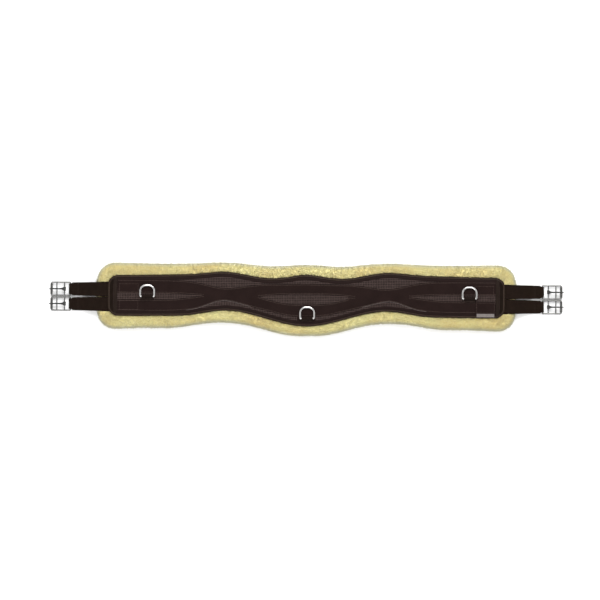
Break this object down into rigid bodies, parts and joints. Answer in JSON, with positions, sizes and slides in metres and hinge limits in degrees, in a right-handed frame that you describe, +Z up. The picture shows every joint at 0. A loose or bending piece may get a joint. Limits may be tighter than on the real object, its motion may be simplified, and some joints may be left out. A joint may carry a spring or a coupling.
{
  "type": "saddle girth",
  "caption": "Contoured saddle girth on a removable sheepskin, with elastic straps, roller buckles at both ends and D-rings on the outside.",
  "frame": {"origin": "on the surface it lies on, under the middle of its box", "axes": "X along the girth, Y across it, Z up, away from the horse's side"},
  "size_m": [1.2516, 0.175, 0.0397],
  "materials": {
    "sheepskin": "matte",
    "hide": "matte",
    "tape": "matte",
    "lining": "matte",
    "webbing": "matte",
    "foam": "matte",
    "mesh": "matte",
    "overlay": "satin",
    "binding": "matte",
    "end_leather": "satin",
    "elastic": "matte",
    "strip": "satin",
    "steel": "polished"
  },
  "bodies": {
    "root": {"sheepskin_pile": "sheepskin", "sheepskin_backing": "hide", "hook_tapes": "tape", "loop_tapes": "tape", "inner_lining": "lining", "spine_webbing": "webbing", "foam_core": "foam", "mesh_panel": "mesh", "wave_overlay": "overlay", "edge_binding": "binding", "end_welt_left": "end_leather", "end_welt_right": "end_leather", "end_cap_left": "end_leather", "end_cap_right": "end_leather", "label_patch": "overlay", "label_strip": "strip", "ring_tab_left": "webbing", "ring_tab_centre": "webbing", "ring_tab_right": "webbing", "strap_web_left_upper": "elastic", "strap_web_left_lower": "elastic", "strap_web_right_upper": "elastic", "strap_web_right_lower": "elastic"},
    "strap_end_left_upper": {"strap_loop_left_upper": "elastic"},
    "buckle_left_upper": {"buckle_frame_left_upper": "steel", "tongue_pin_left_upper": "steel"},
    "tongue_left_upper": {"tongue_left_upper": "steel"},
    "roller_left_upper": {"roller_left_upper": "steel"},
    "strap_end_left_lower": {"strap_loop_left_lower": "elastic"},
    "buckle_left_lower": {"buckle_frame_left_lower": "steel", "tongue_pin_left_lower": "steel"},
    "tongue_left_lower": {"tongue_left_lower": "steel"},
    "roller_left_lower": {"roller_left_lower": "steel"},
    "strap_end_right_upper": {"strap_loop_right_upper": "elastic"},
    "buckle_right_upper": {"buckle_frame_right_upper": "steel", "tongue_pin_right_upper": "steel"},
    "tongue_right_upper": {"tongue_right_upper": "steel"},
    "roller_right_upper": {"roller_right_upper": "steel"},
    "strap_end_right_lower": {"strap_loop_right_lower": "elastic"},
    "buckle_right_lower": {"buckle_frame_right_lower": "steel", "tongue_pin_right_lower": "steel"},
    "tongue_right_lower": {"tongue_right_lower": "steel"},
    "roller_right_lower": {"roller_right_lower": "steel"},
    "ring_left": {"d_ring_left": "steel"},
    "ring_centre": {"d_ring_centre": "steel"},
    "ring_right": {"d_ring_right": "steel"}
  },
  "joints": [
    {"name": "strap_stretch_left_upper", "type": "slide", "parent": "root", "child": "strap_end_left_upper", "axis": [-1, 0, 0], "range_m": [0, 0.025], "stiffness_N_per_m": 4000, "deforming": ["strap_web_left_upper"]},
    {"name": "buckle_hinge_left_upper", "type": "hinge", "parent": "strap_end_left_upper", "child": "buckle_left_upper", "pos_m": [-0.574, 0.0221, 0.0042], "axis": [0, 1, 0], "range_deg": [-1, 70]},
    {"name": "tongue_hinge_left_upper", "type": "hinge", "parent": "buckle_left_upper", "child": "tongue_left_upper", "pos_m": [-0.5885, 0.0221, 0.0042], "axis": [0, 1, 0], "range_deg": [0, 110]},
    {"name": "roller_spin_left_upper", "type": "hinge", "parent": "buckle_left_upper", "child": "roller_left_upper", "pos_m": [-0.62, 0.0221, 0.0042], "axis": [0, 1, 0], "continuous": true},
    {"name": "strap_stretch_left_lower", "type": "slide", "parent": "root", "child": "strap_end_left_lower", "axis": [-1, 0, 0], "range_m": [0, 0.025], "stiffness_N_per_m": 4000, "deforming": ["strap_web_left_lower"]},
    {"name": "buckle_hinge_left_lower", "type": "hinge", "parent": "strap_end_left_lower", "child": "buckle_left_lower", "pos_m": [-0.574, -0.0139, 0.0042], "axis": [0, 1, 0], "range_deg": [-1, 70]},
    {"name": "tongue_hinge_left_lower", "type": "hinge", "parent": "buckle_left_lower", "child": "tongue_left_lower", "pos_m": [-0.5885, -0.0139, 0.0042], "axis": [0, 1, 0], "range_deg": [0, 110]},
    {"name": "roller_spin_left_lower", "type": "hinge", "parent": "buckle_left_lower", "child": "roller_left_lower", "pos_m": [-0.62, -0.0139, 0.0042], "axis": [0, 1, 0], "continuous": true},
    {"name": "strap_stretch_right_upper", "type": "slide", "parent": "root", "child": "strap_end_right_upper", "axis": [1, 0, 0], "range_m": [0, 0.025], "stiffness_N_per_m": 4000, "deforming": ["strap_web_right_upper"]},
    {"name": "buckle_hinge_right_upper", "type": "hinge", "parent": "strap_end_right_upper", "child": "buckle_right_upper", "pos_m": [0.574, 0.0221, 0.0042], "axis": [0, -1, 0], "range_deg": [-1, 70]},
    {"name": "tongue_hinge_right_upper", "type": "hinge", "parent": "buckle_right_upper", "child": "tongue_right_upper", "pos_m": [0.5885, 0.0221, 0.0042], "axis": [0, -1, 0], "range_deg": [0, 110]},
    {"name": "roller_spin_right_upper", "type": "hinge", "parent": "buckle_right_upper", "child": "roller_right_upper", "pos_m": [0.62, 0.0221, 0.0042], "axis": [0, 1, 0], "continuous": true},
    {"name": "strap_stretch_right_lower", "type": "slide", "parent": "root", "child": "strap_end_right_lower", "axis": [1, 0, 0], "range_m": [0, 0.025], "stiffness_N_per_m": 4000, "deforming": ["strap_web_right_lower"]},
    {"name": "buckle_hinge_right_lower", "type": "hinge", "parent": "strap_end_right_lower", "child": "buckle_right_lower", "pos_m": [0.574, -0.0139, 0.0042], "axis": [0, -1, 0], "range_deg": [-1, 70]},
    {"name": "tongue_hinge_right_lower", "type": "hinge", "parent": "buckle_right_lower", "child": "tongue_right_lower", "pos_m": [0.5885, -0.0139, 0.0042], "axis": [0, -1, 0], "range_deg": [0, 110]},
    {"name": "roller_spin_right_lower", "type": "hinge", "parent": "buckle_right_lower", "child": "roller_right_lower", "pos_m": [0.62, -0.0139, 0.0042], "axis": [0, 1, 0], "continuous": true},
    {"name": "ring_swing_left", "type": "hinge", "parent": "root", "child": "ring_left", "pos_m": [-0.3855, 0.0051, 0.03595], "axis": [1, 0, 0], "range_deg": [-1, 170]},
    {"name": "ring_swing_centre", "type": "hinge", "parent": "root", "child": "ring_centre", "pos_m": [0.002, -0.0454, 0.03595], "axis": [1, 0, 0], "range_deg": [-1, 170]},
    {"name": "ring_swing_right", "type": "hinge", "parent": "root", "child": "ring_right", "pos_m": [0.395, 0.0051, 0.03595], "axis": [1, 0, 0], "range_deg": [-1, 170]}
  ]
}
